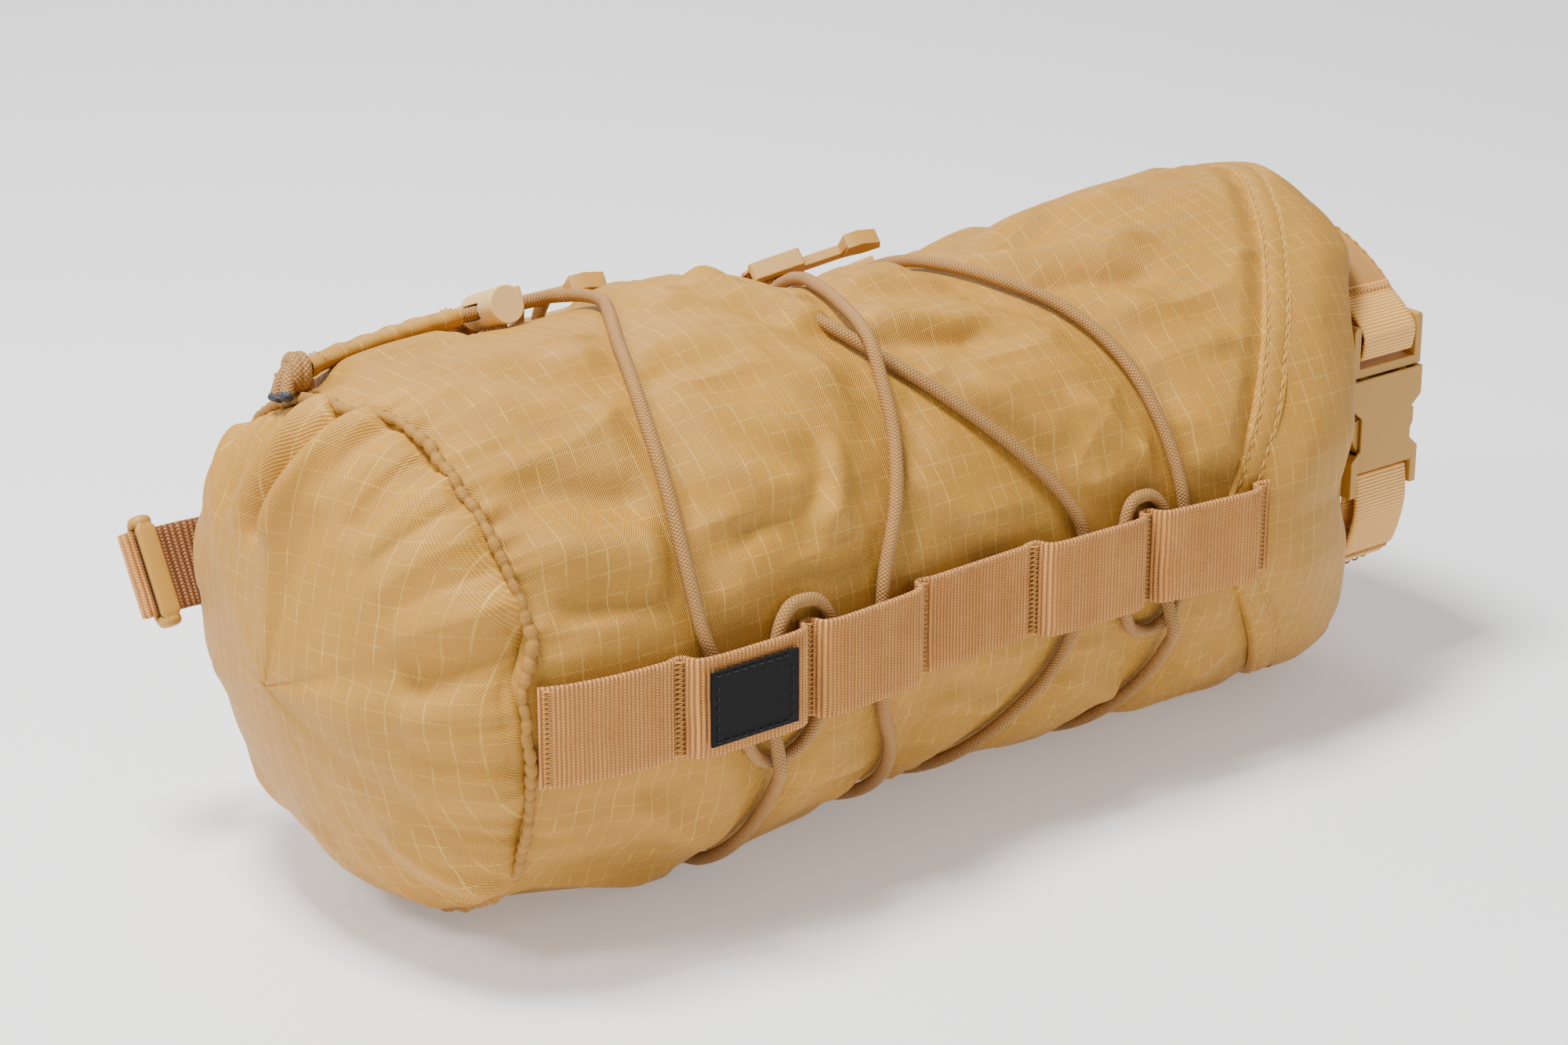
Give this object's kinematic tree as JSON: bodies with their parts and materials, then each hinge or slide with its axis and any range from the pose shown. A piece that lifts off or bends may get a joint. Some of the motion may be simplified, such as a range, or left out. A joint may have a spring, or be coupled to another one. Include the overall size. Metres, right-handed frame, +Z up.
{
  "type": "stuff sack",
  "caption": "Stuffed tubular sack with sewn end cap, roll-top mouth closed by a side-release buckle, shock-cord lacing, cord lock and sewn webbing.",
  "frame": {"origin": "middle of the base, on the floor", "axes": "+X from the sewn end cap to the rolled mouth, -Y towards the front with the ladder webbing, +Z up; the sack lies on its side"},
  "size_m": [0.3443, 0.159, 0.1458],
  "materials": {
    "ripstop": "coated ripstop nylon, tan, soft sheen",
    "contents": "packed clothing, not seen from outside",
    "webbing": "woven nylon webbing, orange brown",
    "tape": "fine ribbed tape, pale tan",
    "laminate": "smooth stiffened nylon, brown",
    "cord": "braided sheath over elastic core",
    "plastic": "moulded acetal, tan, satin",
    "label": "woven blank label, black",
    "steel": "bright spring wire"
  },
  "bodies": {
    "sack": {"body_tube": "ripstop", "end_cap": "ripstop", "cap_seam_binding": "ripstop", "hem_band": "ripstop", "collar": "ripstop", "cord_sleeve": "ripstop", "packed_contents": "contents", "front_webbing": "webbing", "rear_webbing": "webbing", "rear_strap": "webbing", "rear_strap_hem": "webbing", "attachment_tab_left": "webbing", "attachment_tab_right": "webbing", "closure_tab_upper": "tape", "closure_tab_lower": "tape", "roll_closure": "laminate", "rear_panel": "laminate", "lacing_cord": "cord", "cord_knot": "cord", "cord_end_a": "cord", "cord_end_b": "cord", "closure_buckle_male": "plastic", "closure_buckle_female": "plastic", "label_patch": "label"},
    "cord_lock": {"cord_lock_body": "plastic", "cord_lock_spring": "steel"},
    "lock_button": {"cord_lock_button": "plastic"},
    "slider": {"strap_slider": "plastic"},
    "buckle_left": {"attachment_buckle_left": "plastic"},
    "prong_left_a": {"attachment_prong_left_a": "plastic"},
    "prong_left_b": {"attachment_prong_left_b": "plastic"},
    "buckle_right": {"attachment_buckle_right": "plastic"},
    "prong_right_a": {"attachment_prong_right_a": "plastic"},
    "prong_right_b": {"attachment_prong_right_b": "plastic"},
    "closure_left": {"closure_prong_left": "plastic"},
    "closure_right": {"closure_prong_right": "plastic"}
  },
  "joints": [
    {"name": "cord_lock_slide", "type": "slide", "parent": "sack", "child": "cord_lock", "axis": [1, 0, 0], "range_m": [-0.004, 0.009]},
    {"name": "lock_button_press", "type": "slide", "parent": "cord_lock", "child": "lock_button", "axis": [0, -0.9272, 0.3746], "range_m": [0, 0.0025], "stiffness_N_per_m": 900},
    {"name": "strap_slider_slide", "type": "slide", "parent": "sack", "child": "slider", "axis": [1, 0, 0], "range_m": [0, 0.0042]},
    {"name": "buckle_left_swing", "type": "hinge", "parent": "sack", "child": "buckle_left", "pos_m": [-0.065, 0.0533, 0.1239], "axis": [-0.424, -0.6375, 0.6433], "range_deg": [0, 45]},
    {"name": "buckle_right_swing", "type": "hinge", "parent": "sack", "child": "buckle_right", "pos_m": [0.0271, 0.0533, 0.1161], "axis": [-0.4411, -0.582, 0.6832], "range_deg": [0, 45]},
    {"name": "prong_left_a_squeeze", "type": "hinge", "parent": "buckle_left", "child": "prong_left_a", "pos_m": [-0.06132, 0.04516, 0.13031], "axis": [0.148, 0.652, 0.7437], "range_deg": [0, 6], "stiffness_Nm_per_rad": 0.4},
    {"name": "prong_left_b_squeeze", "type": "hinge", "parent": "buckle_left", "child": "prong_left_b", "pos_m": [-0.05474, 0.05504, 0.12034], "axis": [0.148, 0.652, 0.7437], "range_deg": [-6, 0], "stiffness_Nm_per_rad": 0.4},
    {"name": "prong_right_a_squeeze", "type": "hinge", "parent": "buckle_right", "child": "prong_right_a", "pos_m": [0.03063, 0.04587, 0.12339], "axis": [0.1067, 0.7219, 0.6837], "range_deg": [0, 6], "stiffness_Nm_per_rad": 0.4},
    {"name": "prong_right_b_squeeze", "type": "hinge", "parent": "buckle_right", "child": "prong_right_b", "pos_m": [0.03747, 0.05489, 0.1128], "axis": [0.1067, 0.7219, 0.6837], "range_deg": [-6, 0], "stiffness_Nm_per_rad": 0.4},
    {"name": "closure_left_squeeze", "type": "hinge", "parent": "sack", "child": "closure_left", "pos_m": [0.15275, -0.0472, 0.0906], "axis": [0, -1, 0], "range_deg": [0, 6], "stiffness_Nm_per_rad": 0.4},
    {"name": "closure_right_squeeze", "type": "hinge", "parent": "sack", "child": "closure_right", "pos_m": [0.16825, -0.0472, 0.0906], "axis": [0, -1, 0], "range_deg": [-6, 0], "stiffness_Nm_per_rad": 0.4}
  ],
  "couplings": [
    {"joint": "prong_left_b_squeeze", "follows": "prong_left_a_squeeze", "ratio": -1},
    {"joint": "prong_right_b_squeeze", "follows": "prong_right_a_squeeze", "ratio": -1},
    {"joint": "closure_right_squeeze", "follows": "closure_left_squeeze", "ratio": -1}
  ]
}
